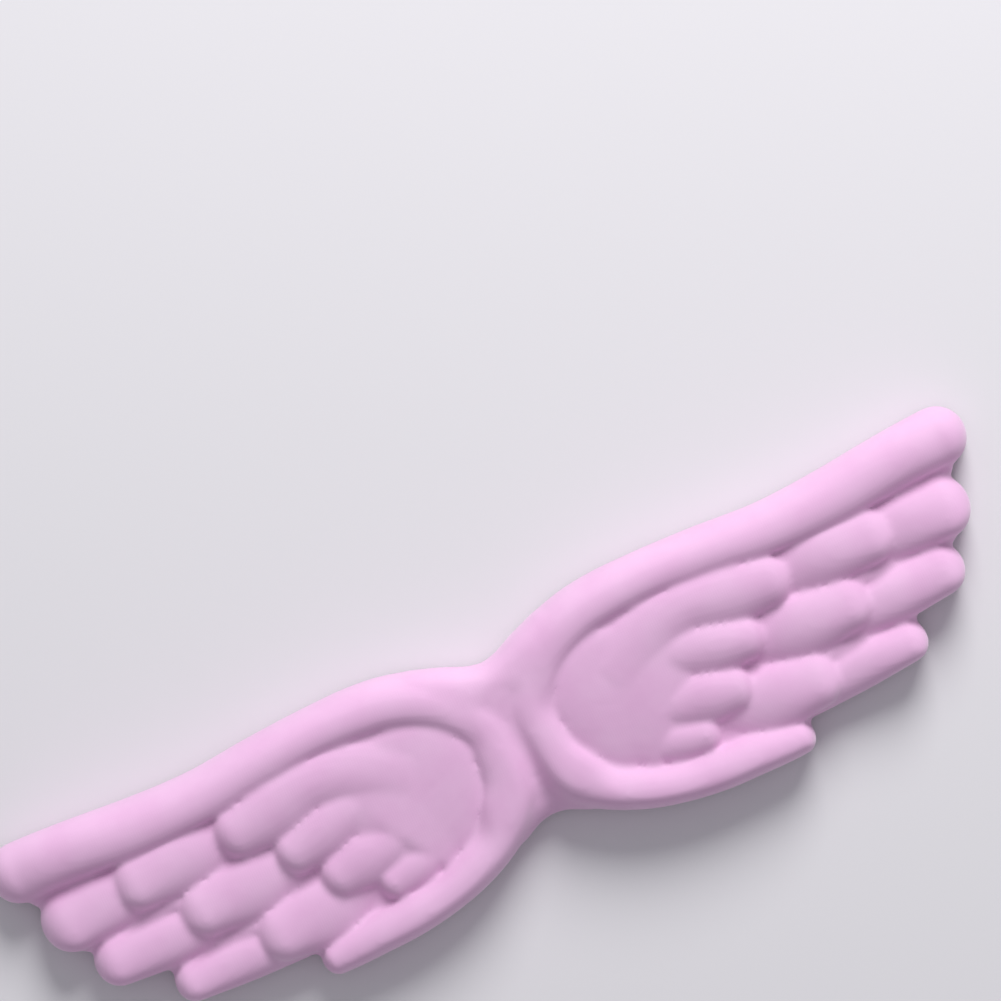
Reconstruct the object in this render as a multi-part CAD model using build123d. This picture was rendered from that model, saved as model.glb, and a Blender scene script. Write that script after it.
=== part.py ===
from build123d import *
import os

"""Wing-shaped wrist rest: a moulded foam body in a stretch-fabric cover, on a non-slip rubber base.

Frame: X along the span, +Y towards the keyboard, +Z up. The origin is on the desk, under the middle.
The right wing is drawn and the left one is its mirror image about X = 0. Each wing has a thick rim
that runs along its leading edge, round the palm and back along the trailing edge. Inside the rim lie
the palm and three rows of feathers, each row lower than the one before it. All lengths are in mm.
"""

# ---- Driving dimensions -------------------------------------------------------------------------
SPAN = 311.8  # wing tip to wing tip
CHORD = 75.0  # leading edge to trailing edge
COVER_THICKNESS = 0.8  # fabric laminate
HEM_WIDTH = 8.0  # cover turned in under the foam
BASE_THICKNESS = 1.8  # rubber sheet
BASE_INSET = 1.5  # rubber sheet stops this far inside the outline
FILM_THICKNESS = 0.2  # adhesive between the base and what it carries
FILM_INSET = 1.0  # film stops this far inside the rubber sheet

# Heights of the outside of the cover above the desk
RIM_HEIGHT = 19.0
PALM_HEIGHT = 16.6
INNER_ROW_HEIGHT = 17.6
MIDDLE_ROW_HEIGHT = 16.0
OUTER_ROW_HEIGHT = 14.4
BED_HEIGHT = 11.5  # the floor of the grooves between the feathers
BED_INSET = 1.2  # the bed stays this far inside the lobes' own walls
EDGE_ROUND = 3.6  # radius of every lobe's upper edge, where the lobe is wide enough
ROUND_SHARE = 0.86  # the rounding takes at most this share of a lobe's half width

# Grip pattern moulded into the underside of the rubber sheet
CELL_DEPTH = 0.5
CELL_FLATS = 6.4  # across the flats of one hexagonal recess
CELL_RIB = 1.6  # rubber left between two recesses
CELL_MARGIN = 2.5  # plain border at the sheet's edge

# ---- Layout of the right wing, drawn at this span and chord ---------------------------------------
DRAWN_SPAN = 311.8
DRAWN_CHORD = 75.0
SPAN_SCALE = SPAN / DRAWN_SPAN
CHORD_SCALE = CHORD / DRAWN_CHORD

# Rim: chains of tangent arcs. A pair of arcs closes its tip, and another its heel.
LEADING_EDGE = [(0, 25.6), (12, 28.9), (42, 36.1), (90, 34.2), (146.4, 37.5)]
POCKET_UPPER = [(12.8, 0), (21.5, 16.8), (50, 22.7), (90, 19.3), (146.4, 19.8)]
POCKET_LOWER = [(12.8, 0), (18.5, -14), (43, -24.8), (74, -27.4)]
TRAILING_EDGE = [(0, -22.4), (8, -24.2), (24, -31.6), (50, -37.4), (74, -36.6)]
PALM_FRONT = (54, 0)  # the palm ends in an arc through here, under the inner row

# Edge of the outer row, from the rim's tip to its heel: arcs round the tips, then a flank if there is one
OUTER_TIPS = [
    [(147.8, 12.0), (137.2, 0.7)],
    [(138.2, -7.5), (130.5, -13.3), (119.6, -15.6)],
    [(119.9, -21.5), (114.0, -26.6), (78.2, -29.8)],
    [(77.9, -34.2), (74.0, -36.6)],
]

# Feathers: root centre, root radius, tip centre, tip radius
INNER_ROW = [
    ((48, 15.0), 7.5, (84.5, 12.2), 7.2),
    ((52, 3.5), 5.2, (72.2, -0.8), 5.2),
    ((42, -8.6), 5.6, (62.8, -12.4), 5.6),
    ((34, -17.8), 4.2, (49.8, -20.3), 4.2),
]
MIDDLE_ROW = [
    ((88, 11.5), 8.0, (116.3, 11.3), 7.6),
    ((76, -3.0), 7.8, (102.3, -4.2), 7.4),
    ((60, -17.5), 7.6, (85, -19.6), 7.4),
]
OUTER_ROW = [
    ((112, 9.5), 9.8, (138.2, 10.4), 9.4),
    ((98, -7.5), 8.0, (130.5, -6.2), 8.0),
    ((84, -22.0), 7.0, (114, -21.0), 6.0),
]

# ---- Levels that follow from the sizes above --------------------------------------------------------
FILM_BOTTOM = BASE_THICKNESS
BODY_BOTTOM = BASE_THICKNESS + FILM_THICKNESS  # underside of the turned-in hem
FOAM_BOTTOM = BODY_BOTTOM + COVER_THICKNESS  # foam that lies on the hem


def at(point):
    """A point of the layout, at the chosen span and chord."""
    x, y = point
    return (x * SPAN_SCALE, y * CHORD_SCALE)


def arc_chain(points, start_direction):
    """Tangent arcs through the points, one after another."""
    edges = []
    direction = Vector(*start_direction)
    for start, end in zip(points[:-1], points[1:]):
        arc = TangentArc(at(start), at(end), tangent=direction)
        edges.append(arc)
        direction = arc % 1
    return edges, direction


def arc_pair(start, start_direction, end, end_direction):
    """Two tangent arcs that leave start and reach end in the given directions."""
    start, end = Vector(*at(start)), Vector(*at(end))
    gap = end - start
    turn = start_direction + end_direction
    spread = 2 * (1 - start_direction.dot(end_direction))
    reach = ((gap.dot(turn) ** 2 + spread * gap.dot(gap)) ** 0.5 - gap.dot(turn)) / spread
    middle = (start + start_direction * reach + end - end_direction * reach) / 2
    first = TangentArc(start, middle, tangent=start_direction)
    return [first, TangentArc(middle, end, tangent=first % 1)]


def mirrored_loop(edges):
    """A face whose outline is the given edges of the right side and their mirror images."""
    right = Wire(edges)
    return Face(Wire(right.edges() + mirror(right, Plane.YZ).edges()))


def rims_face():
    """Plan of both rims and the bridge between them."""
    leading, leading_end = arc_chain(LEADING_EDGE, (1, 0))
    upper, upper_end = arc_chain(POCKET_UPPER, (0, 1))
    lower, lower_end = arc_chain(POCKET_LOWER, (0, -1))
    trailing, trailing_end = arc_chain(TRAILING_EDGE, (1, 0))
    tip = arc_pair(LEADING_EDGE[-1], leading_end, POCKET_UPPER[-1], upper_end * -1)
    heel = arc_pair(POCKET_LOWER[-1], lower_end, TRAILING_EDGE[-1], trailing_end * -1)
    return mirrored_loop(leading + tip + upper + lower + heel + trailing)


def palm_face():
    """Plan of the right palm: the closed end of the rim's pocket, cut off by a shallow arc."""
    upper, _ = arc_chain(POCKET_UPPER[:3], (0, 1))
    lower, _ = arc_chain(POCKET_LOWER[:3], (0, -1))
    front = ThreePointArc(at(POCKET_UPPER[2]), at(PALM_FRONT), at(POCKET_LOWER[2]))
    return make_face(upper + lower + [front]).face()


def feather_face(feather):
    """Plan of one feather: two straight flanks that touch its root circle and its tip circle."""
    root, root_radius, tip, tip_radius = feather
    root, tip = Vector(*at(root)), Vector(*at(tip))
    root_radius, tip_radius = root_radius * CHORD_SCALE, tip_radius * CHORD_SCALE
    along = (tip - root).normalized()
    across = along.rotate(Axis.Z, 90)
    lean = (root_radius - tip_radius) / (tip - root).length
    left = along * lean + across * (1 - lean**2) ** 0.5
    right = along * lean - across * (1 - lean**2) ** 0.5
    round_root = ThreePointArc(root + left * root_radius, root - along * root_radius, root + right * root_radius)
    round_tip = ThreePointArc(tip + right * tip_radius, tip + along * tip_radius, tip + left * tip_radius)
    flanks = [Line(round_root @ 1, round_tip @ 0), Line(round_tip @ 1, round_root @ 0)]
    return make_face([round_root, flanks[0], round_tip, flanks[1]]).face()


def moved_in(face, inset):
    """The face with its outline moved in by inset."""
    return offset(face, -inset).face() if inset else face


def slab(plan, bottom, top):
    """The plan raised into a plate between two heights."""
    return extrude(Pos(0, 0, bottom) * plan, top - bottom, dir=(0, 0, 1))


def lobe(plan, half_width, bottom, height, inset):
    """A flat-topped lobe with a rounded upper edge, its outside moved in by inset."""
    block = slab(moved_in(plan, inset), bottom, height - inset)
    upper_edges = block.faces().sort_by(Axis.Z)[-1].outer_wire().edges()
    return fillet(upper_edges, min(EDGE_ROUND, ROUND_SHARE * half_width) - inset)


def silhouette():
    """Plan outline of the whole wrist rest: the rims' outer edges and the tips of the outer feathers."""
    leading, leading_end = arc_chain(LEADING_EDGE, (1, 0))
    _, upper_end = arc_chain(POCKET_UPPER, (0, 1))
    trailing, _ = arc_chain(TRAILING_EDGE, (1, 0))
    edges = leading + arc_pair(LEADING_EDGE[-1], leading_end, POCKET_UPPER[-1], upper_end * -1)
    start = POCKET_UPPER[-1]
    for through, end, *flank in OUTER_TIPS:
        edges.append(ThreePointArc(at(start), at(through), at(end)))
        edges += [Line(at(end), at(point)) for point in flank]
        start = (flank or [end])[-1]
    return mirrored_loop(edges + trailing)


def body(outline, bottom, inset):
    """The moulded body, its outside moved in by inset: a bed with the rims, palms and feathers on it."""
    heel_half_width = abs(at(POCKET_LOWER[-1])[1] - at(TRAILING_EDGE[-1])[1]) / 2
    palm_half_width = at(POCKET_UPPER[1])[1]
    plans = [(palm_face(), palm_half_width, PALM_HEIGHT)]
    rows = [(INNER_ROW, INNER_ROW_HEIGHT), (MIDDLE_ROW, MIDDLE_ROW_HEIGHT), (OUTER_ROW, OUTER_ROW_HEIGHT)]
    for row, height in rows:
        plans += [(feather_face(feather), feather[-1] * CHORD_SCALE, height) for feather in row]
    right = [lobe(plan, half_width, bottom, height, inset) for plan, half_width, height in plans]
    left = [mirror(piece, Plane.YZ) for piece in right]
    rims = lobe(rims_face(), heel_half_width, bottom, RIM_HEIGHT, inset)
    moulding = slab(moved_in(outline, BED_INSET + inset), bottom, BED_HEIGHT - inset)
    for piece in [rims] + right + left:
        moulding = moulding.fuse(piece)
    return moulding


def foam_core(outline):
    """The moulded foam: the body inside the cover, and the part of its foot that fills the hem's window."""
    foam = body(outline, FOAM_BOTTOM, COVER_THICKNESS)
    return foam.fuse(slab(moved_in(outline, HEM_WIDTH), BODY_BOTTOM, FOAM_BOTTOM))


def bonding_film(outline):
    """The adhesive sheet between the rubber base and the hem and foam above it."""
    return slab(moved_in(outline, BASE_INSET + FILM_INSET), FILM_BOTTOM, BODY_BOTTOM)


def grip_cells(outline):
    """The hexagonal recesses of the grip pattern that lie wholly inside the sheet's plain border."""
    border = moved_in(outline, BASE_INSET + CELL_MARGIN + CELL_FLATS / 2).faces()
    pitch = CELL_FLATS + CELL_RIB
    row_step = pitch * 3**0.5 / 2
    columns = int(SPAN / pitch) + 1
    rows = int(CHORD / row_step) + 1
    cell = RegularPolygon(CELL_FLATS / 2, 6, major_radius=False, rotation=30)
    places = []
    for row in range(-rows // 2, rows // 2 + 1):
        shift = pitch / 2 if row % 2 else 0
        for column in range(-columns // 2, columns // 2 + 1):
            place = Vector(column * pitch + shift, row * row_step)
            if any(face.is_inside(place) for face in border):
                places.append(place)
    return [Pos(*place) * cell for place in places]


def base_sheet(outline):
    """The rubber sheet on the desk, with its grip pattern moulded into the underside."""
    plan = moved_in(outline, BASE_INSET)
    cells = grip_cells(outline)
    pierced = Face(plan.outer_wire(), [cell.face().outer_wire() for cell in cells])
    return slab(pierced, 0, CELL_DEPTH).fuse(slab(plan, CELL_DEPTH, BASE_THICKNESS))


def main():
    """Builds every piece and writes one STEP file for each."""
    outline = silhouette()
    foam = foam_core(outline)
    pieces = {
        "top_cover": body(outline, BODY_BOTTOM, 0).cut(foam),
        "foam_core": foam,
        "bonding_film": bonding_film(outline),
        "base_sheet": base_sheet(outline),
    }
    os.makedirs("parts", exist_ok=True)
    for name, piece in pieces.items():
        export_step(piece, f"parts/{name}.step")


if __name__ == "__main__":
    main()
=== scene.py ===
import logging
import math
from dataclasses import astuple, dataclass, field
from enum import Enum
from typing import ClassVar

import bpy
import numpy as np
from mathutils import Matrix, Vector
from mathutils.kdtree import KDTree


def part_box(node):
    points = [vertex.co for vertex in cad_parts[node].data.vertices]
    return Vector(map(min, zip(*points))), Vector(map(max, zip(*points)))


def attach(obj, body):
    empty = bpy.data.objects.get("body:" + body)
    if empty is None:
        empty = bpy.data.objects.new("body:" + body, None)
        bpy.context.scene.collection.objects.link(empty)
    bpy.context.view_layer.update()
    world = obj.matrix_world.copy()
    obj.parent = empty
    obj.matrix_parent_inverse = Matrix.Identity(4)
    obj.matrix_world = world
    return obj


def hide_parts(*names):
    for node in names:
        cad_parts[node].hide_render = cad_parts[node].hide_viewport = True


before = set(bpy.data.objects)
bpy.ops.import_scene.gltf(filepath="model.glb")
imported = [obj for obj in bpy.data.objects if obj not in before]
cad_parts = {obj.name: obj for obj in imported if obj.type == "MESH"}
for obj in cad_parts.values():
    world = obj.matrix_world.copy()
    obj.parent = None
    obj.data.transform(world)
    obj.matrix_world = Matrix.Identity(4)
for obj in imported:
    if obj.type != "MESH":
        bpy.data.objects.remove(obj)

# Wing-shaped wrist rest: a moulded foam body in a stretch-knit cover, on a non-slip rubber sheet.
#
# Everything is in the imported model's frame, in metres: X along the span, +Y towards the keyboard, +Z up,
# with the desk at zero. Sizes below are in millimetres and are turned to metres where a mesh is written.
# The right wing's relief is laid out station by station and the left one is its mirror image.

LOG = logging.getLogger("wrist_rest")
MM = 0.001
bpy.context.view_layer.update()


class Side(Enum):
    """Which wing a pad belongs to. The value is the sign of X on that side."""

    RIGHT = 1.0
    LEFT = -1.0


@dataclass(frozen=True)
class Flank:
    """One side of a pad's cross-section, from its ridge to its edge: a sagging line ended by a rounded edge.

    Attributes:
        drop: How far the crown sags from the ridge to the edge, in millimetres.
        cap: How far the rounded edge falls below that.
        shoulder: How square the rounded edge is, as the exponent of a superellipse.
        lap: How far the side runs on under the next pad.
    """

    drop: float
    cap: float
    shoulder: float
    lap: float = 0.0


@dataclass(frozen=True)
class Profile:
    """Cross-section of a pad. Left and right are as seen along its spine.

    Attributes:
        ridge: Place of the crest, from -1 at the right edge to 1 at the left edge.
        left: The left side.
        right: The right side.
    """

    ridge: float
    left: Flank
    right: Flank

    def numbers(self) -> tuple[float, ...]:
        """The ridge's place and both flanks' sizes, one after another."""
        return self.ridge, *astuple(self.left), *astuple(self.right)


class Section(Enum):
    """The cross-sections in use."""

    RIM_LEAD = Profile(0.27, Flank(1.8, 3.0, 9.0), Flank(0.0, 13.0, 2.1))
    RIM_TIP = Profile(0.1, Flank(2.6, 10.0, 5.0), Flank(0.0, 10.0, 2.1))
    RIM_RING = Profile(-0.22, Flank(2.2, 4.4, 5.0), Flank(1.2, 10.0, 2.4))
    RIM_BEND = Profile(-0.2, Flank(1.4, 5.2, 4.2), Flank(1.0, 11.0, 2.5))
    RIM_TRAIL = Profile(-0.25, Flank(0.3, 8.0, 2.1), Flank(0.5, 12.0, 2.3))
    RIM_HEEL = Profile(-0.25, Flank(0.4, 11.0, 2.6), Flank(0.5, 11.0, 2.3))
    FEATHER = Profile(0.0, Flank(0.4, 4.4, 2.2), Flank(3.4, 3.2, 7.0, 0.8))
    ROOT = Profile(0.0, Flank(0.4, 4.4, 2.2), Flank(1.4, 4.4, 4.0))
    TIP = Profile(-0.35, Flank(0.6, 6.0, 2.2), Flank(2.7, 6.0, 5.0, 0.4))
    INNER_TIP = Profile(-0.1, Flank(0.6, 6.0, 2.2), Flank(2.7, 6.0, 5.0, 0.4))
    OUTER = Profile(0.0, Flank(0.4, 8.0, 2.6), Flank(2.3, 8.0, 4.0))
    OUTER_TIP = Profile(-0.35, Flank(0.8, 9.0, 2.2), Flank(1.2, 9.0, 4.0))
    ROUND = Profile(0.0, Flank(1.5, 10.0, 2.7), Flank(1.5, 10.0, 2.7))
    BROAD = Profile(0.4, Flank(0.3, 4.0, 5.0), Flank(2.6, 4.0, 5.0))
    LEVEL = Profile(0.0, Flank(0.0, 5.0, 6.0), Flank(0.0, 5.0, 6.0))


@dataclass(frozen=True)
class Station:
    """One place along a pad's spine, in millimetres.

    Attributes:
        x: Distance from the middle of the bridge.
        y: Distance towards the keyboard.
        half_width: Half of the pad's width here.
        crest: Height of the pad's top above the desk.
        section: Cross-section here, if it isn't the pad's usual one.
    """

    x: float
    y: float
    half_width: float
    crest: float
    section: Section | None = None


def only(piece: bpy.types.Object) -> None:
    """Selects one object and makes it active.

    Args:
        piece: The object that the next operators act on.
    """
    bpy.ops.object.select_all(action="DESELECT")
    piece.select_set(True)
    bpy.context.view_layer.objects.active = piece


def read_points(piece: bpy.types.Object) -> np.ndarray:
    """Reads a mesh's vertices.

    Args:
        piece: A mesh object.

    Returns:
        One row of x, y, z in metres for each vertex.
    """
    flat = np.empty(len(piece.data.vertices) * 3)
    piece.data.vertices.foreach_get("co", flat)
    return flat.reshape(-1, 3)


def write_points(piece: bpy.types.Object, points: np.ndarray) -> None:
    """Moves a mesh's vertices.

    Args:
        piece: A mesh object.
        points: One row of x, y, z in metres for each vertex.
    """
    piece.data.vertices.foreach_set("co", points.ravel())
    piece.data.update()


def read_normals(piece: bpy.types.Object) -> np.ndarray:
    """Reads a mesh's vertex normals.

    Args:
        piece: A mesh object.

    Returns:
        One unit row for each vertex.
    """
    flat = np.empty(len(piece.data.vertices) * 3)
    piece.data.vertex_normals.foreach_get("vector", flat)
    return flat.reshape(-1, 3)


def add_modifier(piece: bpy.types.Object, kind: str, **settings: object) -> bpy.types.Modifier:
    """Adds a modifier with its settings.

    Args:
        piece: The object that gets it.
        kind: Blender's name for the modifier.
        **settings: Values of its properties.

    Returns:
        The modifier, not yet applied.
    """
    only(piece)
    bpy.ops.object.modifier_add(type=kind)
    modifier = piece.modifiers[-1]
    for name, value in settings.items():
        setattr(modifier, name, value)
    return modifier


def apply_modifier(piece: bpy.types.Object, kind: str, **settings: object) -> None:
    """Adds a modifier and applies it at once.

    Args:
        piece: The object that is changed.
        kind: Blender's name for the modifier.
        **settings: Values of its properties.
    """
    modifier = add_modifier(piece, kind, **settings)
    bpy.ops.object.modifier_apply(modifier=modifier.name)


def linear(code: str) -> tuple[float, float, float, float]:
    """Turns an sRGB hex colour to a linear one.

    Args:
        code: Six hex digits, with no sign before them.

    Returns:
        Red, green and blue in linear light, and an alpha of one.
    """
    parts = [int(code[i:i + 2], 16) / 255 for i in (0, 2, 4)]
    channels = [part / 12.92 if part <= 0.04045 else ((part + 0.055) / 1.055) ** 2.4 for part in parts]
    return (*channels, 1.0)


# ---- Shape of the pads ------------------------------------------------------------------------------


@dataclass(frozen=True)
class Pad:
    """One raised part of the relief: a long, crowned lobe that follows a spine.

    Attributes:
        name: What the lobe is on the wing.
        stations: Its spine, with its half-width and height at each place.
        root_length: How far the rounded root reaches past the first station.
        tip_length: How far the rounded tip reaches past the last station.
        section: Shape of its cross-section.
        rings: How many rings of faces it has along its length.
        end_drop: How far the crown falls towards the lobe's ends.
        end_shoulder: How square the ends are, as the exponent of a superellipse.
    """

    name: str
    stations: tuple[Station, ...]
    root_length: float
    tip_length: float
    section: Section = Section.FEATHER
    rings: int = 64
    end_drop: float = 1.5
    end_shoulder: float = 2.3

    # How deep the lobe would reach below its widest place, as a share of the way to the floor
    UNDER: ClassVar[float] = 2.2
    # How much taller the relief grows with every millimetre towards the keyboard
    LEAN: ClassVar[float] = 0.003
    # Faces round the lobe
    SEGMENTS: ClassVar[int] = 48
    # A point of the ball nearer to its axis than this is a pole
    POLE: ClassVar[float] = 1e-5

    def spine(self, distance: np.ndarray) -> tuple[np.ndarray, np.ndarray]:
        """Places along the smooth spine, straight on past both its ends.

        Args:
            distance: How far along, in millimetres, from the first station.

        Returns:
            Rows of x, y, half-width, crest and the profile's numbers, and rows of the unit direction
            across the lobe.
        """
        knots = np.array([
            [s.x, s.y, s.half_width, s.crest, *(s.section or self.section).value.numbers()]
            for s in self.stations
        ])
        steps = np.linalg.norm(np.diff(knots[:, :2], axis=0), axis=1)
        where = np.concatenate([[0.0], np.cumsum(steps)])
        slopes = np.gradient(knots, where, axis=0) if len(knots) > 2 else np.diff(knots, axis=0) / steps[0]
        slopes = np.broadcast_to(slopes, knots.shape)
        inside = np.clip(distance, 0.0, where[-1])
        cell = np.clip(np.searchsorted(where, inside, side="right") - 1, 0, len(steps) - 1)
        span = steps[cell]
        t = ((inside - where[cell]) / span)[:, None]
        start, end = knots[cell], knots[cell + 1]
        leave, arrive = slopes[cell] * span[:, None], slopes[cell + 1] * span[:, None]
        row = (2 * t**3 - 3 * t**2 + 1) * start + (t**3 - 2 * t**2 + t) * leave
        row += (3 * t**2 - 2 * t**3) * end + (t**3 - t**2) * arrive
        rate = (6 * t**2 - 6 * t) * (start - end)
        rate = rate + (3 * t**2 - 4 * t + 1) * leave + (3 * t**2 - 2 * t) * arrive
        along = rate[:, :2] / np.linalg.norm(rate[:, :2], axis=1)[:, None]
        row[:, :2] += along * (distance - inside)[:, None]
        return row, np.stack([-along[:, 1], along[:, 0]], axis=1)

    def length(self) -> float:
        """Distance from the first station to the last, in millimetres."""
        places = np.array([[s.x, s.y] for s in self.stations])
        return float(np.linalg.norm(np.diff(places, axis=0), axis=1).sum())

    def build(self, side: Side, floor: float) -> bpy.types.Object:
        """Makes the lobe from a ball, drawn out along its spine.

        Args:
            side: The wing that it is on.
            floor: Height of its flat foot, in millimetres.

        Returns:
            A closed mesh object.
        """
        bpy.ops.object.select_all(action="DESELECT")
        bpy.ops.mesh.primitive_uv_sphere_add(segments=self.SEGMENTS, ring_count=self.rings, radius=1.0)
        ball = bpy.context.object
        ball.name = f"{self.name}_{side.name.lower()}"
        points = read_points(ball)
        ring = np.hypot(points[:, 0], points[:, 1])
        turn = np.arctan2(points[:, 1], points[:, 0])
        length = self.length()
        distance = (points[:, 2] + 1) / 2 * (length + self.root_length + self.tip_length) - self.root_length
        past = np.clip(np.maximum(-distance / self.root_length, (distance - length) / self.tip_length), 0, 1)
        past[ring < self.POLE] = 1.0
        narrowing = np.sqrt(1 - past**2)
        lowering = (1 - past**self.end_shoulder) ** (1 / self.end_shoulder)
        row, sideways = self.spine(distance)
        half_width, crest, ridge = row[:, 2:5].T
        left = np.cos(turn) > 0
        drop, cap, shoulder, lap = np.where(left, row[:, 5:9].T, row[:, 9:13].T)
        aside, up = np.abs(np.cos(turn)), np.sin(turn)
        reach = (aside**shoulder + np.abs(up) ** shoulder) ** (-1 / shoulder)
        aside, up = aside * reach, up * reach * lowering
        hand = np.where(left, 1.0, -1.0)
        shift = (ridge * half_width + hand * aside * ((1 - hand * ridge) * half_width + lap)) * narrowing
        widest = crest - cap - drop * aside**2 - self.end_drop * past**2
        height = widest + np.where(up > 0, cap, self.UNDER * (widest - floor)) * up
        height = np.maximum(height, floor)
        height = floor + (height - floor) * (1 + self.LEAN * row[:, 1])
        shaped = np.column_stack([row[:, :2] + sideways * shift[:, None], height])
        shaped[:, 0] *= side.value
        write_points(ball, shaped * MM)
        only(ball)
        bpy.ops.object.mode_set(mode="EDIT")
        bpy.ops.mesh.select_all(action="SELECT")
        bpy.ops.mesh.normals_make_consistent(inside=False)
        bpy.ops.object.mode_set(mode="OBJECT")
        return ball


RIM = Pad(
    "rim",
    (
        Station(146.5, 28.6, 9.0, 15.2, Section.RIM_TIP),
        Station(140.0, 28.5, 8.8, 16.4, Section.RIM_TIP),
        Station(130.0, 27.9, 8.7, 17.3, Section.RIM_TIP),
        Station(110.0, 26.9, 7.8, 17.7),
        Station(90.0, 26.6, 7.4, 17.7),
        Station(70.0, 28.5, 7.0, 17.7),
        Station(50.0, 29.5, 6.8, 17.7),
        Station(40.0, 29.2, 7.1, 17.7),
        Station(29.0, 27.7, 7.3, 17.7),
        Station(21.0, 24.9, 7.6, 17.7),
        Station(14.5, 20.8, 7.9, 17.6),
        Station(9.6, 15.4, 7.8, 17.5),
        Station(7.0, 8.0, 7.3, 17.8, Section.RIM_RING),
        Station(6.6, 0.0, 7.0, 18.5, Section.RIM_RING),
        Station(7.3, -7.8, 7.4, 19.0, Section.RIM_RING),
        Station(10.7, -14.9, 7.8, 19.3, Section.RIM_BEND),
        Station(17.0, -21.0, 7.0, 19.4, Section.RIM_TRAIL),
        Station(27.2, -26.7, 6.2, 20.0, Section.RIM_TRAIL),
        Station(38.4, -30.0, 5.9, 20.1, Section.RIM_TRAIL),
        Station(49.5, -31.2, 6.3, 20.0, Section.RIM_TRAIL),
        Station(60.0, -31.8, 6.1, 19.4, Section.RIM_TRAIL),
        Station(69.0, -32.6, 5.5, 18.2, Section.RIM_HEEL),
        Station(74.0, -33.0, 5.0, 17.3, Section.RIM_HEEL),
    ),
    root_length=9.2,
    tip_length=4.6,
    section=Section.RIM_LEAD,
    rings=300,
)

BRIDGE = (
    Pad("bridge", (Station(0, 14, 8.5, 16.5), Station(0, -8, 9.5, 16.5)),
        9.0, 13.6, Section.ROUND, end_shoulder=2.1),
    Pad("bridge_lead", (Station(-1, 18.0, 7.7, 16.5), Station(7, 19.3, 8.0, 16.8),
                        Station(14, 22.1, 8.2, 16.9), Station(22, 25.3, 7.9, 16.2)),
        6.0, 8.0, Section.ROUND),
    Pad("bridge_trail", (Station(-1, -14.4, 8.0, 13.6), Station(6, -15.6, 7.8, 14.2),
                         Station(13, -19.0, 7.4, 15.4)),
        6.0, 7.0, Section.ROUND),
)

PALM = Pad(
    "palm",
    (
        Station(33.2, -0.2, 21.4, 17.1),
        Station(39.5, -2.0, 22.0, 17.3),
        Station(45.0, -5.2, 20.5, 17.3),
        Station(50.0, -9.0, 18.0, 16.0),
    ),
    root_length=21.6,
    tip_length=7.0,
    section=Section.BROAD,
    rings=96,
    end_drop=0.8,
    end_shoulder=5.0,
)

# The palm's end, level with the feathers' roots, so that the grooves between them start sharply
PALM_FRONT = Pad(
    "palm_front",
    (Station(34.0, -0.6, 20.0, 17.15), Station(42.3, -5.2, 20.6, 17.6)),
    root_length=8.0,
    tip_length=4.0,
    section=Section.BROAD,
    end_drop=0.3,
    end_shoulder=5.0,
)

INNER_ROW = (
    Pad("inner_1", (Station(33, 7.4, 12.4, 17.1, Section.ROOT), Station(44, 12.2, 10.5, 17.6),
                    Station(52, 14.8, 8.9, 17.9),
                    Station(60, 15.7, 7.9, 18.2), Station(70, 14.2, 8.4, 18.4),
                    Station(84.3, 12.7, 7.8, 18.4, Section.INNER_TIP)), 8, 7.3),
    Pad("inner_2", (Station(44, 5.0, 7.0, 16.5), Station(53, 4.2, 7.6, 17.7), Station(62, 2.3, 7.5, 18.4),
                    Station(71.8, 0.4, 6.6, 18.4, Section.INNER_TIP)), 7, 6.0),
    Pad("inner_3", (Station(39, -6.2, 6.8, 16.2), Station(46, -8.8, 7.4, 17.5), Station(54, -10.0, 7.5, 18.5),
                    Station(62.8, -11.5, 6.6, 18.4, Section.INNER_TIP)), 7, 6.0),
    Pad("inner_4", (Station(34, -16.6, 5.6, 15.8), Station(41.5, -18.4, 5.8, 17.3),
                    Station(49.6, -19.8, 5.4, 17.8, Section.INNER_TIP)), 5, 4.8),
)

MIDDLE_ROW = (
    Pad("middle_1", (Station(86, 12.6, 8.4, 13.5), Station(98, 12.2, 8.6, 16.4),
                     Station(116.2, 11.8, 8.3, 17.8, Section.TIP)), 8, 7.9),
    Pad("middle_2", (Station(72, -1.0, 8.3, 13.5), Station(86, -3.1, 9.0, 16.5),
                     Station(102.2, -3.4, 8.0, 17.9, Section.TIP)), 8, 7.8),
    Pad("middle_3", (Station(56, -16.6, 8.2, 13.4), Station(70, -18.8, 9.3, 16.5),
                     Station(84.8, -19.4, 8.1, 17.9, Section.TIP)), 8, 7.8),
)

OUTER_ROW = (
    Pad("outer_1", (Station(112, 10.4, 9.4, 12.9), Station(124, 10.0, 9.6, 15.2),
                    Station(138.4, 10.0, 9.6, 16.4, Section.OUTER_TIP)), 8, 9.3, Section.OUTER),
    Pad("outer_2", (Station(98, -7.4, 8.0, 12.9), Station(112, -7.5, 8.2, 15.2),
                    Station(130.8, -6.1, 8.0, 16.5, Section.OUTER_TIP)), 8, 7.7, Section.OUTER),
    Pad("outer_3", (Station(82, -22.6, 6.8, 13.0), Station(98, -21.7, 7.0, 15.0),
                    Station(113.9, -21.0, 6.3, 16.2, Section.OUTER_TIP)), 8, 6.0, Section.OUTER),
)

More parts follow.
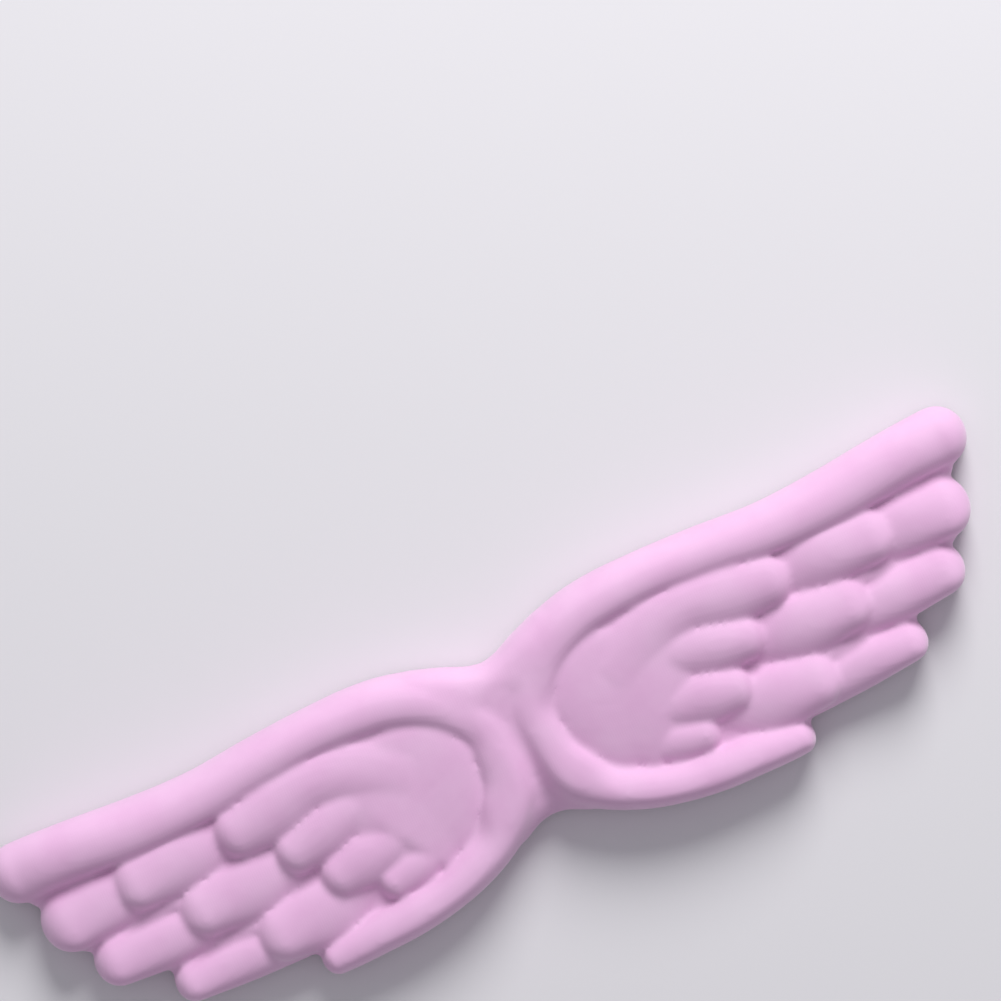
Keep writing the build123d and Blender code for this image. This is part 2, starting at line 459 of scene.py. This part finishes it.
# Low ridges that fill the notches between the feathers' tips
WEBS = (
    Pad("web_1", (Station(128, 19.0, 4.5, 12.4), Station(145.2, 19.7, 3.2, 9.6)),
        3.0, 3.0, Section.ROUND),
    Pad("web_2", (Station(109, 1.2, 4.0, 13.6), Station(120, 1.0, 4.0, 12.0),
                  Station(134.0, 0.9, 3.4, 10.0)), 3.0, 3.4, Section.ROUND),
    Pad("web_3", (Station(91, -14.6, 4.0, 13.6), Station(102, -15.3, 4.0, 12.0),
                  Station(116.8, -15.0, 3.4, 10.0)), 3.0, 3.4, Section.ROUND),
    Pad("web_4", (Station(64, -28.6, 3.6, 11.8), Station(77.0, -29.2, 2.6, 10.0)),
        3.0, 2.6, Section.ROUND),
)

# The floor of the grooves
BED = Pad(
    "bed",
    (
        Station(4, 2, 18, 12.0),
        Station(30, 1, 27, 12.0),
        Station(55, 0, 32, 12.0),
        Station(75, 2, 28, 11.8),
        Station(100, 5, 25, 11.0),
        Station(118, 10, 22, 10.4),
        Station(132, 15, 17, 10.0),
    ),
    root_length=8,
    tip_length=10,
    section=Section.LEVEL,
    rings=96,
)

RELIEF = (RIM, *BRIDGE, PALM, PALM_FRONT, *INNER_ROW, *MIDDLE_ROW, *OUTER_ROW, *WEBS, BED)


# ---- Padded pieces ----------------------------------------------------------------------------------


@dataclass
class Cushion:
    """The moulded relief and the two soft pieces made from it: the fabric cover and the foam in it.

    Attributes:
        cover_thickness: Thickness of the fabric.
        hem_width: How far the fabric turns in under the foam.
        voxel: Size of a mesh cell.
        groove_softening: How many passes round the grooves off.
        saddle_softening: How many passes blend the rims into each other across the bridge.
        saddle_clearance: How far round the palm the blend starts, as a share of the palm's root.
        saddle_fade: Over how much more of it the blend grows to full strength.
        saddle_reach: How far along the span the blend reaches, and over how much of that it fades.
        saddle_height: Above which height it starts, and over how much more it grows to full strength.
        valley_depth: Depth of the shallow valley down the middle of the bridge, at its trailing end.
        valley_width: Half of the valley's width.
        valley_middle: Where along the span the valley runs.
        valley_run: Where across the chord it starts, and its length from there.
        pressure: Of the air that blows the pads up.
        swell_limit: Furthest that a point may move when the pads are blown up.
        swell_frames: Length of the simulation.
        foot_reach: How far above the foot a point may lie that is pressed down to it.
        wall_reach: How far above the foot the lowest points of the walls are looked for.
        foot: Height of the flat foot above the desk.
    """

    cover_thickness: float = 0.8
    hem_width: float = 8.0
    voxel: float = 0.8
    groove_softening: int = 10
    saddle_softening: int = 50
    saddle_clearance: float = 1.06
    saddle_fade: float = 0.2
    saddle_reach: tuple[float, float] = (19.0, 9.0)
    saddle_height: tuple[float, float] = (7.0, 4.0)
    valley_depth: float = 1.7
    valley_width: float = 3.4
    valley_middle: float = 1.0
    valley_run: tuple[float, float] = (15.0, 25.0)
    pressure: float = 4.0
    swell_limit: float = 0.8
    swell_frames: int = 12
    foot_reach: float = 0.6
    wall_reach: float = 1.2
    foot: float = field(default_factory=lambda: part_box("top_cover")[0].z / MM)

    # Steps between no blend and the whole blend
    GRADES: ClassVar[int] = 10
    # Share of the way to its neighbours' middle that a point moves in each smoothing pass
    EASE: ClassVar[float] = 0.5
    # A face that looks down more steeply than this belongs to the foot
    DOWNWARD: ClassVar[float] = -0.7
    # How far above the foot a point may lie and still be on it
    LEVEL: ClassVar[float] = 0.01
    # Gap between the foam and the inside of the fabric
    FOAM_GAP: ClassVar[float] = 0.1

    def body(self) -> bpy.types.Object:
        """Joins all the pads into one closed skin.

        Returns:
            The outside of the cushion, with a flat foot.
        """
        lobes = [pad.build(side, self.foot) for pad in RELIEF for side in Side]
        bpy.ops.object.select_all(action="DESELECT")
        for lobe in lobes:
            lobe.select_set(True)
        bpy.context.view_layer.objects.active = lobes[0]
        bpy.ops.object.join()
        body = bpy.context.object
        body.name = body.data.name = "cover"
        apply_modifier(body, "REMESH", mode="VOXEL", voxel_size=self.voxel * MM, use_smooth_shade=True)
        apply_modifier(body, "SMOOTH", factor=self.EASE, iterations=self.groove_softening)
        self.soften_saddle(body)
        return body

    def soften_saddle(self, body: bpy.types.Object) -> None:
        """Blends the bridge and the rims beside it into one smooth saddle, clear of the palms and the foot.

        Args:
            body: The closed skin, which is changed.
        """
        points = read_points(body) / MM
        palm, root = PALM.stations[0], PALM.root_length
        along, across = (np.abs(points[:, 0]) - palm.x) / root, (points[:, 1] - palm.y) / palm.half_width
        from_palm = np.hypot(along, across)
        (reach, fade), (start, growth) = self.saddle_reach, self.saddle_height
        share = np.clip((from_palm - self.saddle_clearance) / self.saddle_fade, 0, 1)
        share = share * np.clip((reach - np.abs(points[:, 0])) / fade, 0, 1)
        share *= np.clip((points[:, 2] - start) / growth, 0, 1)
        steps = np.ceil(share * self.GRADES)
        group = body.vertex_groups.new(name="saddle")
        for step in np.unique(steps):
            group.add(np.flatnonzero(steps == step).tolist(), step / self.GRADES, "REPLACE")
        apply_modifier(
            body, "SMOOTH", factor=self.EASE, iterations=self.saddle_softening, vertex_group="saddle"
        )
        body.vertex_groups.clear()
        points = read_points(body)
        aside = (points[:, 0] / MM - self.valley_middle) / self.valley_width
        trailing = (self.valley_run[0] - points[:, 1] / MM) / self.valley_run[1]
        points[:, 2] -= self.valley_depth * MM * np.exp(-(aside**2)) * np.clip(trailing, 0, 1) * share
        write_points(body, points)

    def swell(self, body: bpy.types.Object) -> None:
        """Blows the pads up under the fabric by a cloth simulation with pressure.

        Args:
            body: The closed skin, which is changed.
        """
        before = read_points(body)
        cloth = add_modifier(body, "CLOTH")
        cloth.settings.use_pressure = True
        cloth.settings.uniform_pressure_force = self.pressure
        cloth.settings.effector_weights.gravity = 0.0
        cloth.point_cache.frame_start = 1
        cloth.point_cache.frame_end = self.swell_frames
        for moment in range(1, self.swell_frames + 1):
            bpy.context.scene.frame_set(moment)
        bpy.ops.object.modifier_apply(modifier=cloth.name)
        moved = read_points(body) - before
        far = np.linalg.norm(moved, axis=1)
        LOG.info("cloth moved points by up to %.2f mm, %.2f mm on average", far.max() / MM, far.mean() / MM)
        keep = np.minimum(1.0, self.swell_limit * MM / np.maximum(far, 1e-9))
        write_points(body, before + moved * keep[:, None])

    def flatten_foot(self, body: bpy.types.Object) -> None:
        """Presses the foot flat.

        Args:
            body: The closed skin, which is changed.
        """
        points = read_points(body)
        down = read_normals(body)[:, 2] < self.DOWNWARD
        low = points[:, 2] < (self.foot + self.foot_reach) * MM
        points[:, 2] = np.where(down & low, self.foot * MM, points[:, 2])
        points[:, 2] = np.maximum(points[:, 2], self.foot * MM)
        write_points(body, points)

    def from_edge(self, body: bpy.types.Object) -> np.ndarray:
        """How far each vertex of the foot is from the foot's edge.

        Args:
            body: The closed skin.

        Returns:
            Metres for each vertex, and zero for those that aren't on the foot.
        """
        points = read_points(body)
        on_foot = points[:, 2] < (self.foot + self.LEVEL) * MM
        near_edge = np.flatnonzero(~on_foot & (points[:, 2] < (self.foot + self.wall_reach) * MM))
        tree = KDTree(len(near_edge))
        for index in near_edge:
            tree.insert(points[index], index)
        tree.balance()
        distance = np.zeros(len(points))
        for index in np.flatnonzero(on_foot):
            distance[index] = tree.find(points[index])[2]
        return distance

    def make_foam(self, body: bpy.types.Object, depth: np.ndarray) -> bpy.types.Object:
        """Makes the foam body, just inside the fabric and down through the hem's window.

        Args:
            body: The outside of the cover.
            depth: Distance of the foot's vertices from its edge.

        Returns:
            The foam.
        """
        only(body)
        bpy.ops.object.duplicate()
        foam = bpy.context.object
        foam.name = foam.data.name = "foam"
        normals = read_normals(foam)
        in_window = depth > self.hem_width * MM
        points = read_points(foam)
        inward = points - normals * (self.cover_thickness + self.FOAM_GAP) * MM
        inward[in_window] = points[in_window]
        write_points(foam, inward)
        return foam

    def make_cover(self, body: bpy.types.Object, depth: np.ndarray) -> None:
        """Cuts the window in the foot and gives the fabric its thickness.

        Args:
            body: The closed skin, which becomes the cover.
            depth: Distance of the foot's vertices from its edge.
        """
        only(body)
        body.data.vertices.foreach_set("select", depth > self.hem_width * MM)
        bpy.ops.object.mode_set(mode="EDIT")
        bpy.ops.mesh.select_mode(type="VERT")
        bpy.ops.object.mode_set(mode="OBJECT")
        bpy.ops.object.mode_set(mode="EDIT")
        bpy.ops.mesh.delete(type="VERT")
        bpy.ops.object.mode_set(mode="OBJECT")
        apply_modifier(body, "SOLIDIFY", thickness=self.cover_thickness * MM, offset=-1.0)

    def build(self) -> tuple[bpy.types.Object, bpy.types.Object]:
        """Makes the cover and the foam.

        Returns:
            The two pieces.
        """
        cover = self.body()
        self.swell(cover)
        self.flatten_foot(cover)
        depth = self.from_edge(cover)
        foam = self.make_foam(cover, depth)
        self.make_cover(cover, depth)
        for piece in (cover, foam):
            only(piece)
            bpy.ops.object.shade_smooth()
            LOG.info("%s: %d faces", piece.name, len(piece.data.polygons))
        return cover, foam

    def dress(self, cover: bpy.types.Object, foam: bpy.types.Object) -> None:
        """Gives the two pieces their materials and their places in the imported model.

        Args:
            cover: The fabric cover.
            foam: The foam body.
        """
        for piece, node, slot, finish in (
            (cover, "top_cover", "cover_fabric", KnitCover()),
            (foam, "foam_core", "foam", SlowFoam()),
        ):
            wear(piece, finish.make())
            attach(piece, "root")
            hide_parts(node)
            LOG.info("%s wears %s", piece.name, finish.name)


@dataclass
class Sole:
    """What the cushion stands on: the bonding film and the rubber sheet, both as they were packed.

    Attributes:
        film: Name of the film's node.
        sheet: Name of the rubber sheet's node.
    """

    film: str = "bonding_film"
    sheet: str = "base_sheet"

    def dress(self) -> None:
        """Gives the two nodes their materials."""
        for node, finish in ((self.film, ContactAdhesive()), (self.sheet, GripRubber())):
            wear(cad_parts[node], finish.make())
            LOG.info("%s wears %s", node, finish.name)


# ---- Finishes ---------------------------------------------------------------------------------------


class Finish:
    """A material under construction."""

    def __init__(self, name: str) -> None:
        """Starts a material with its shader.

        Args:
            name: The material's name.
        """
        self.material = bpy.data.materials.new(name)
        self.material.use_nodes = True
        self.tree = self.material.node_tree
        self.shader = self.tree.nodes["Principled BSDF"]

    def add(
        self, kind: str, links: dict[str | int, object] | None = None, **settings: object
    ) -> bpy.types.Node:
        """Adds a node with its settings and links.

        Args:
            kind: Blender's name for the node.
            links: For each input, by name or number, an output socket or a value.
            **settings: Values of the node's own properties.

        Returns:
            The node.
        """
        node = self.tree.nodes.new(kind)
        for name, value in settings.items():
            setattr(node, name, value)
        self.feed(node, links or {})
        return node

    def feed(self, node: bpy.types.Node, links: dict[str | int, object]) -> None:
        """Links sockets to a node's inputs, or sets their values.

        Args:
            node: The node whose inputs are set.
            links: For each input, by name or number, an output socket or a value.
        """
        for name, value in links.items():
            if isinstance(value, bpy.types.NodeSocket):
                self.tree.links.new(value, node.inputs[name])
            else:
                node.inputs[name].default_value = value


@dataclass(frozen=True)
class KnitCover:
    """Dyed polyamide and elastane tricot: a matte, very fine stretch knit with a soft bloom on its slopes.

    Attributes:
        name: The material's name.
        light: Colour where the dye took least.
        deep: Colour where it took most.
        stitch: Spacing of the stitches. A real stitch is about 0.35 mm, too fine to show, so it is
            drawn twice as large.
        relief: Height of a stitch.
        bump: How much of that height shows.
        wobble: How unevenly the rows of stitches run.
        mottle: Size of the faint clouds in the dye.
        clouds: Where in the noise the deep and the light colour are reached.
        roughness: Of the yarn.
        sheen: Strength of the bloom that the fine loose fibres give to slopes.
        sheen_roughness: How widely the bloom spreads.
    """

    name: str = "orchid_elastane_tricot"
    light: str = "E9BBE0"
    deep: str = "E4B2DA"
    stitch: float = 0.7
    relief: float = 0.05
    bump: float = 0.1
    wobble: float = 0.6
    mottle: float = 14.0
    clouds: tuple[float, float] = (0.3, 0.7)
    roughness: float = 0.86
    sheen: float = 0.4
    sheen_roughness: float = 0.5

    # A wave texture draws one band in this many units over its scale
    WAVE_PERIOD: ClassVar[float] = math.pi / 10

    def make(self) -> bpy.types.Material:
        """Builds the material.

        Returns:
            The finished material.
        """
        work = Finish(self.name)
        place = work.add("ShaderNodeTexCoord").outputs["Object"]
        scale = 1 / (self.mottle * MM)
        cloud = work.add("ShaderNodeTexNoise", {"Vector": place, "Scale": scale, "Detail": 3.0})
        ramp = work.add("ShaderNodeValToRGB", {"Fac": cloud.outputs["Fac"]})
        dyes = (self.deep, self.light)
        for element, reached, dye in zip(ramp.color_ramp.elements, self.clouds, dyes):
            element.position, element.color = reached, linear(dye)
        scale = self.WAVE_PERIOD / (self.stitch * MM)
        rows = {"Vector": place, "Scale": scale, "Distortion": self.wobble, "Detail": 1.0}
        waves = [
            work.add("ShaderNodeTexWave", rows, bands_direction=axis).outputs["Fac"] for axis in "XYZ"
        ]
        pair = work.add("ShaderNodeMath", {0: waves[0], 1: waves[1]}, operation="ADD")
        knit = work.add("ShaderNodeMath", {0: pair.outputs[0], 1: waves[2]}, operation="ADD")
        height, distance = knit.outputs[0], self.relief * MM
        bump = work.add("ShaderNodeBump", {"Height": height, "Strength": self.bump, "Distance": distance})
        work.feed(
            work.shader,
            {
                "Base Color": ramp.outputs["Color"],
                "Roughness": self.roughness,
                "Sheen Weight": self.sheen,
                "Sheen Roughness": self.sheen_roughness,
                "Normal": bump.outputs["Normal"],
            },
        )
        return work.material


@dataclass(frozen=True)
class SlowFoam:
    """Slow-recovery polyurethane foam, moulded: cream, matte, with a fine open-cell surface.

    Attributes:
        name: The material's name.
        light: Colour of the cells' walls.
        deep: Colour painted in the cells' pits, as painted shade.
        cell: Size of a cell.
        relief: Depth of a cell.
        bump: How much of that depth shows.
        roughness: Of the foam.
    """

    name: str = "cream_polyurethane_foam"
    light: str = "EFE6CC"
    deep: str = "DCCFAE"
    cell: float = 0.9
    relief: float = 0.2
    bump: float = 0.4
    roughness: float = 0.95

    def make(self) -> bpy.types.Material:
        """Builds the material.

        Returns:
            The finished material.
        """
        work = Finish(self.name)
        place = work.add("ShaderNodeTexCoord").outputs["Object"]
        cells = work.add("ShaderNodeTexVoronoi", {"Vector": place, "Scale": 1 / (self.cell * MM)})
        # The pits, which the bump sets lower, are painted darker than the walls: painted shade in the cells.
        ramp = work.add("ShaderNodeValToRGB", {"Fac": cells.outputs["Distance"]})
        ramp.color_ramp.elements[0].color = linear(self.deep)
        ramp.color_ramp.elements[1].color = linear(self.light)
        height, distance = cells.outputs["Distance"], self.relief * MM
        bump = work.add("ShaderNodeBump", {"Height": height, "Strength": self.bump, "Distance": distance})
        work.feed(
            work.shader,
            {
                "Base Color": ramp.outputs["Color"],
                "Roughness": self.roughness,
                "Normal": bump.outputs["Normal"],
            },
        )
        return work.material


@dataclass(frozen=True)
class ContactAdhesive:
    """Dried contact adhesive: a thin, slightly glossy, honey-coloured film with brush marks.

    Attributes:
        name: The material's name.
        light: Colour where the film is thin.
        deep: Colour where it is thick.
        stroke: Width of a brush mark.
        roughness: Of the film.
    """

    name: str = "dried_contact_adhesive"
    light: str = "D9CFAE"
    deep: str = "C4B68B"
    stroke: float = 6.0
    roughness: float = 0.4

    def make(self) -> bpy.types.Material:
        """Builds the material.

        Returns:
            The finished material.
        """
        work = Finish(self.name)
        place = work.add("ShaderNodeTexCoord").outputs["Object"]
        scale = 1 / (self.stroke * MM)
        strokes = work.add("ShaderNodeTexNoise", {"Vector": place, "Scale": scale, "Detail": 2.0})
        ramp = work.add("ShaderNodeValToRGB", {"Fac": strokes.outputs["Fac"]})
        ramp.color_ramp.elements[0].color = linear(self.deep)
        ramp.color_ramp.elements[1].color = linear(self.light)
        work.feed(work.shader, {"Base Color": ramp.outputs["Color"], "Roughness": self.roughness})
        return work.material


@dataclass(frozen=True)
class GripRubber:
    """Black natural rubber sheet, pressed in a mould: matte, with a faint grain and grey dust in its pores.

    Attributes:
        name: The material's name.
        light: Colour of the dust.
        deep: Colour of the clean rubber.
        grain: Size of the grain.
        relief: Height of the grain.
        bump: How much of that height shows.
        roughness: Of the rubber.
    """

    name: str = "black_moulded_rubber"
    light: str = "34343A"
    deep: str = "232327"
    grain: float = 0.8
    relief: float = 0.1
    bump: float = 0.3
    roughness: float = 0.8

    def make(self) -> bpy.types.Material:
        """Builds the material.

        Returns:
            The finished material.
        """
        work = Finish(self.name)
        place = work.add("ShaderNodeTexCoord").outputs["Object"]
        scale = 1 / (self.grain * MM)
        grain = work.add("ShaderNodeTexNoise", {"Vector": place, "Scale": scale, "Detail": 4.0})
        ramp = work.add("ShaderNodeValToRGB", {"Fac": grain.outputs["Fac"]})
        ramp.color_ramp.elements[0].color = linear(self.deep)
        ramp.color_ramp.elements[1].color = linear(self.light)
        height, distance = grain.outputs["Fac"], self.relief * MM
        bump = work.add("ShaderNodeBump", {"Height": height, "Strength": self.bump, "Distance": distance})
        work.feed(
            work.shader,
            {
                "Base Color": ramp.outputs["Color"],
                "Roughness": self.roughness,
                "Normal": bump.outputs["Normal"],
            },
        )
        return work.material


@dataclass(frozen=True)
class DeskPaint:
    """Pale matte desk surface under the object.

    Attributes:
        name: The material's name.
        colour: Of the paint.
        roughness: Of the paint.
    """

    name: str = "pale_matte_desk"
    colour: str = "E9E6EA"
    roughness: float = 0.8

    def make(self) -> bpy.types.Material:
        """Builds the material.

        Returns:
            The finished material.
        """
        work = Finish(self.name)
        work.feed(work.shader, {"Base Color": linear(self.colour), "Roughness": self.roughness})
        return work.material


def wear(piece: bpy.types.Object, material: bpy.types.Material) -> None:
    """Gives a piece one material all over.

    Args:
        piece: The object, new or from the frame.
        material: What it is made of.
    """
    if not piece.material_slots:
        piece.data.materials.append(material)
    for slot in piece.material_slots:
        slot.material = material


# ---- Stage ------------------------------------------------------------------------------------------


@dataclass
class Stage:
    """Floor, light and camera.

    Attributes:
        view_centre: Place on the desk under the middle of the view.
        view_width: How much of the desk the view spans.
        roll: Turn of the camera about its own axis, in degrees.
        focal_length: Of the camera's lens.
        sensor: Width of the camera's sensor.
        floor_size: Side of the floor, in metres.
        sky: Strength of the even light from all round.
        sky_colour: Its colour, as linear red, green and blue and an alpha of one.
        key_bearing: Direction of the key light round the object, in degrees from +X towards +Y.
        key_height: Its height above the desk, in degrees.
        key_distance: How far off it stands, in metres.
        key_size: Its width, in metres.
        key_power: Its power, in watts.
    """

    view_centre: tuple[float, float] = (25.06, 65.99)
    view_width: float = 290.8
    roll: float = -25.4
    focal_length: float = 150.0
    sensor: float = 36.0
    floor_size: float = 6.0
    sky: float = 0.37
    sky_colour: tuple[float, float, float, float] = (0.93, 0.95, 1.0, 1.0)
    key_bearing: float = 58.0
    key_height: float = 35.0
    key_distance: float = 1.6
    key_size: float = 0.9
    key_power: float = 24.0

    def add_floor(self) -> None:
        """Lays a plain floor under the object."""
        bpy.ops.object.select_all(action="DESELECT")
        bpy.ops.mesh.primitive_plane_add(size=self.floor_size, location=(0, 0, 0))
        floor = bpy.context.object
        floor.name = "floor"
        wear(floor, DeskPaint().make())

    def add_lights(self) -> None:
        """Adds a large soft key light from beyond the leading edge, and an even pale sky."""
        world = bpy.data.worlds.new("sky")
        bpy.context.scene.world = world
        world.use_nodes = True
        background = world.node_tree.nodes["Background"]
        background.inputs["Color"].default_value = self.sky_colour
        background.inputs["Strength"].default_value = self.sky
        bearing, height = math.radians(self.key_bearing), math.radians(self.key_height)
        level = math.cos(height)
        direction = Vector((math.cos(bearing) * level, math.sin(bearing) * level, math.sin(height)))
        bpy.ops.object.select_all(action="DESELECT")
        bpy.ops.object.light_add(type="AREA", location=direction * self.key_distance)
        key = bpy.context.object
        key.name = "key_light"
        key.rotation_euler = direction.to_track_quat("Z", "Y").to_euler()
        key.data.shape = "DISK"
        key.data.size = self.key_size
        key.data.energy = self.key_power

    def add_camera(self) -> None:
        """Places the camera straight above, with a long lens."""
        distance = self.view_width * MM / self.sensor * self.focal_length
        bpy.ops.object.select_all(action="DESELECT")
        bpy.ops.object.camera_add(
            location=(self.view_centre[0] * MM, self.view_centre[1] * MM, distance),
            rotation=(0, 0, math.radians(self.roll)),
        )
        camera = bpy.context.object
        camera.data.lens = self.focal_length
        camera.data.sensor_width = self.sensor
        bpy.context.scene.camera = camera

    def build(self) -> None:
        """Sets the stage."""
        bpy.context.scene.view_settings.view_transform = "Standard"
        self.add_floor()
        self.add_lights()
        self.add_camera()


def main() -> None:
    """Builds the wrist rest, dresses every piece and sets the stage."""
    logging.basicConfig(level=logging.INFO, format="%(name)s: %(message)s")
    cushion = Cushion()
    cushion.dress(*cushion.build())
    Sole().dress()
    Stage().build()


if __name__ == "__main__":
    main()
